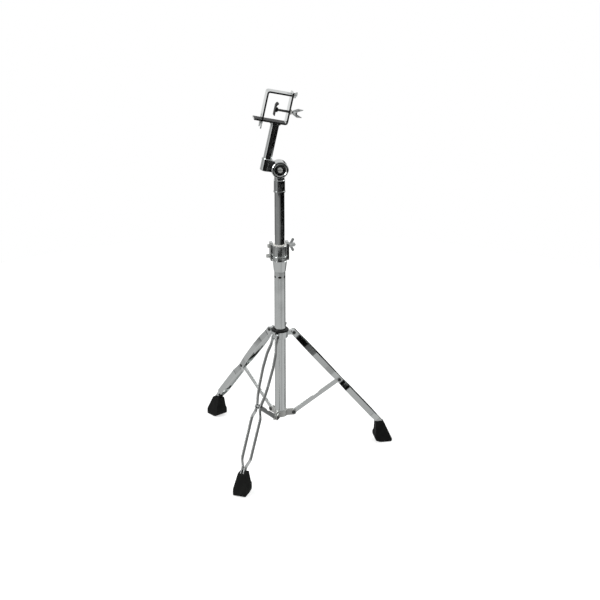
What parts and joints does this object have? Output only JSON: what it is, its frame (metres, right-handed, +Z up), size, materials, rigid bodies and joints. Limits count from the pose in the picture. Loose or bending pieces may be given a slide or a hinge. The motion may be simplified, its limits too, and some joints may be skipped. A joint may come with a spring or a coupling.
{
  "type": "bongo stand",
  "caption": "Standing-height folding tripod for a pair of bongos, with double-strip legs, a telescopic mast, a tilter, an offset arm and a screw clamp frame.",
  "frame": {"origin": "floor level under the middle of the bounding box", "axes": "+Z up the mast; one leg points along +X; the tilt axis runs along Y"},
  "size_m": [0.4056, 0.4668, 0.8522],
  "materials": {
    "chrome_tube": "polished chrome plate",
    "chrome_strip": "polished chrome plate on strip steel",
    "chrome_bar": "polished chrome plate on flat bar",
    "cast_zinc": "chrome plate on die-cast zinc",
    "steel": "nickel plated",
    "nylon": "black nylon",
    "white_nylon": "natural nylon",
    "dark_steel": "black coating",
    "rubber": "moulded black rubber"
  },
  "bodies": {
    "base": {"base_tube": "chrome_tube", "lower_collar": "steel", "height_clamp": "cast_zinc", "clamp_bolt": "steel", "fixing_bolt": "steel"},
    "clamp_nut": {"clamp_wing_nut": "cast_zinc"},
    "collar": {"upper_collar": "cast_zinc", "collar_bush": "nylon"},
    "collar_screw": {"collar_wing_screw": "cast_zinc"},
    "leg_1": {"leg_1_strip_a": "chrome_strip", "leg_1_strip_b": "chrome_strip", "leg_1_rivet": "steel", "leg_1_pivot_a": "steel", "leg_1_pivot_b": "steel", "foot_1": "rubber"},
    "stay_1": {"brace_1": "chrome_strip", "brace_1_rivet": "steel"},
    "leg_2": {"leg_2_strip_a": "chrome_strip", "leg_2_strip_b": "chrome_strip", "leg_2_rivet": "steel", "leg_2_pivot_a": "steel", "leg_2_pivot_b": "steel", "foot_2": "rubber"},
    "stay_2": {"brace_2": "chrome_strip", "brace_2_rivet": "steel"},
    "leg_3": {"leg_3_strip_a": "chrome_strip", "leg_3_strip_b": "chrome_strip", "leg_3_rivet": "steel", "leg_3_pivot_a": "steel", "leg_3_pivot_b": "steel", "foot_3": "rubber"},
    "stay_3": {"brace_3": "chrome_strip", "brace_3_rivet": "steel"},
    "bush": {"mast_bush": "white_nylon"},
    "mast": {"upper_tube": "chrome_tube", "tilter_base": "cast_zinc", "tilter_bolt": "steel"},
    "tilter_nut": {"tilter_wing_nut": "cast_zinc"},
    "head": {"tilter_head": "cast_zinc", "arm_tube": "chrome_tube", "clamp_frame": "chrome_bar", "clamp_gate": "chrome_bar", "press_nut": "steel"},
    "low_nut": {"gate_nut_low": "cast_zinc"},
    "side_nut": {"gate_nut_side": "cast_zinc"},
    "pad": {"press_pad": "dark_steel"},
    "screw": {"press_screw": "cast_zinc"}
  },
  "joints": [
    {"name": "fold", "type": "slide", "parent": "base", "child": "collar", "axis": [0, 0, 1], "range_m": [0, 0.09392]},
    {"name": "collar_screw_spin", "type": "hinge", "parent": "collar", "child": "collar_screw", "pos_m": [-0.05993, 0, 0.28623], "axis": [0.5, 0.866, 0], "range_deg": [0, 720]},
    {"name": "leg_1_fold", "type": "hinge", "parent": "collar", "child": "leg_1", "pos_m": [-0.02893, 0, 0.28843], "axis": [0, 1, 0], "range_deg": [0, 36.75]},
    {"name": "brace_1_fold", "type": "hinge", "parent": "base", "child": "stay_1", "pos_m": [-0.02963, 0, 0.0898], "axis": [0, -1, 0], "range_deg": [0, 50.62]},
    {"name": "leg_2_fold", "type": "hinge", "parent": "collar", "child": "leg_2", "pos_m": [-0.07543, 0.02685, 0.28843], "axis": [-0.866, -0.5, 0], "range_deg": [0, 36.75]},
    {"name": "brace_2_fold", "type": "hinge", "parent": "base", "child": "stay_2", "pos_m": [-0.07508, 0.02624, 0.0898], "axis": [0.866, 0.5, 0], "range_deg": [0, 50.62]},
    {"name": "leg_3_fold", "type": "hinge", "parent": "collar", "child": "leg_3", "pos_m": [-0.07543, -0.02685, 0.28843], "axis": [0.866, -0.5, 0], "range_deg": [0, 36.75]},
    {"name": "brace_3_fold", "type": "hinge", "parent": "base", "child": "stay_3", "pos_m": [-0.07508, -0.02624, 0.0898], "axis": [-0.866, 0.5, 0], "range_deg": [0, 50.62]},
    {"name": "clamp_nut_spin", "type": "hinge", "parent": "base", "child": "clamp_nut", "pos_m": [-0.03723, 0.0215, 0.49], "axis": [1, 0, 0], "range_deg": [0, 720]},
    {"name": "mast_swivel", "type": "hinge", "parent": "base", "child": "bush", "pos_m": [-0.05993, 0, 0.438], "axis": [0, 0, 1], "continuous": true},
    {"name": "mast_height", "type": "slide", "parent": "bush", "child": "mast", "axis": [0, 0, 1], "range_m": [-0.115, 0.12]},
    {"name": "tilt", "type": "hinge", "parent": "mast", "child": "head", "pos_m": [-0.05993, 0, 0.6745], "axis": [0, 1, 0], "range_deg": [-35, 80]},
    {"name": "tilter_nut_spin", "type": "hinge", "parent": "mast", "child": "tilter_nut", "pos_m": [-0.05993, 0.0103, 0.6745], "axis": [0, 1, 0], "range_deg": [0, 720]},
    {"name": "low_nut_spin", "type": "hinge", "parent": "head", "child": "low_nut", "pos_m": [-0.09905, 0, 0.78643], "axis": [-0.2181, 0, -0.9759], "range_deg": [0, 720]},
    {"name": "side_nut_spin", "type": "hinge", "parent": "head", "child": "side_nut", "pos_m": [-0.02904, 0, 0.83882], "axis": [0.9759, 0, -0.2181], "range_deg": [0, 720]},
    {"name": "pad_slide", "type": "slide", "parent": "head", "child": "pad", "axis": [-0.9759, 0, 0.2181], "range_m": [-0.015, 0.0025]},
    {"name": "screw_spin", "type": "hinge", "parent": "pad", "child": "screw", "pos_m": [-0.03179, 0, 0.80039], "axis": [-0.9759, 0, 0.2181], "range_deg": [-4320, 720]}
  ],
  "couplings": [
    {"joint": "leg_1_fold", "follows": "fold", "rad_per_m": 6.8295},
    {"joint": "brace_1_fold", "follows": "fold", "rad_per_m": 9.4068},
    {"joint": "leg_2_fold", "follows": "fold", "rad_per_m": 6.8295},
    {"joint": "brace_2_fold", "follows": "fold", "rad_per_m": 9.4068},
    {"joint": "leg_3_fold", "follows": "fold", "rad_per_m": 6.8295},
    {"joint": "brace_3_fold", "follows": "fold", "rad_per_m": 9.4068},
    {"joint": "screw_spin", "follows": "pad_slide", "rad_per_m": 5026.5}
  ]
}
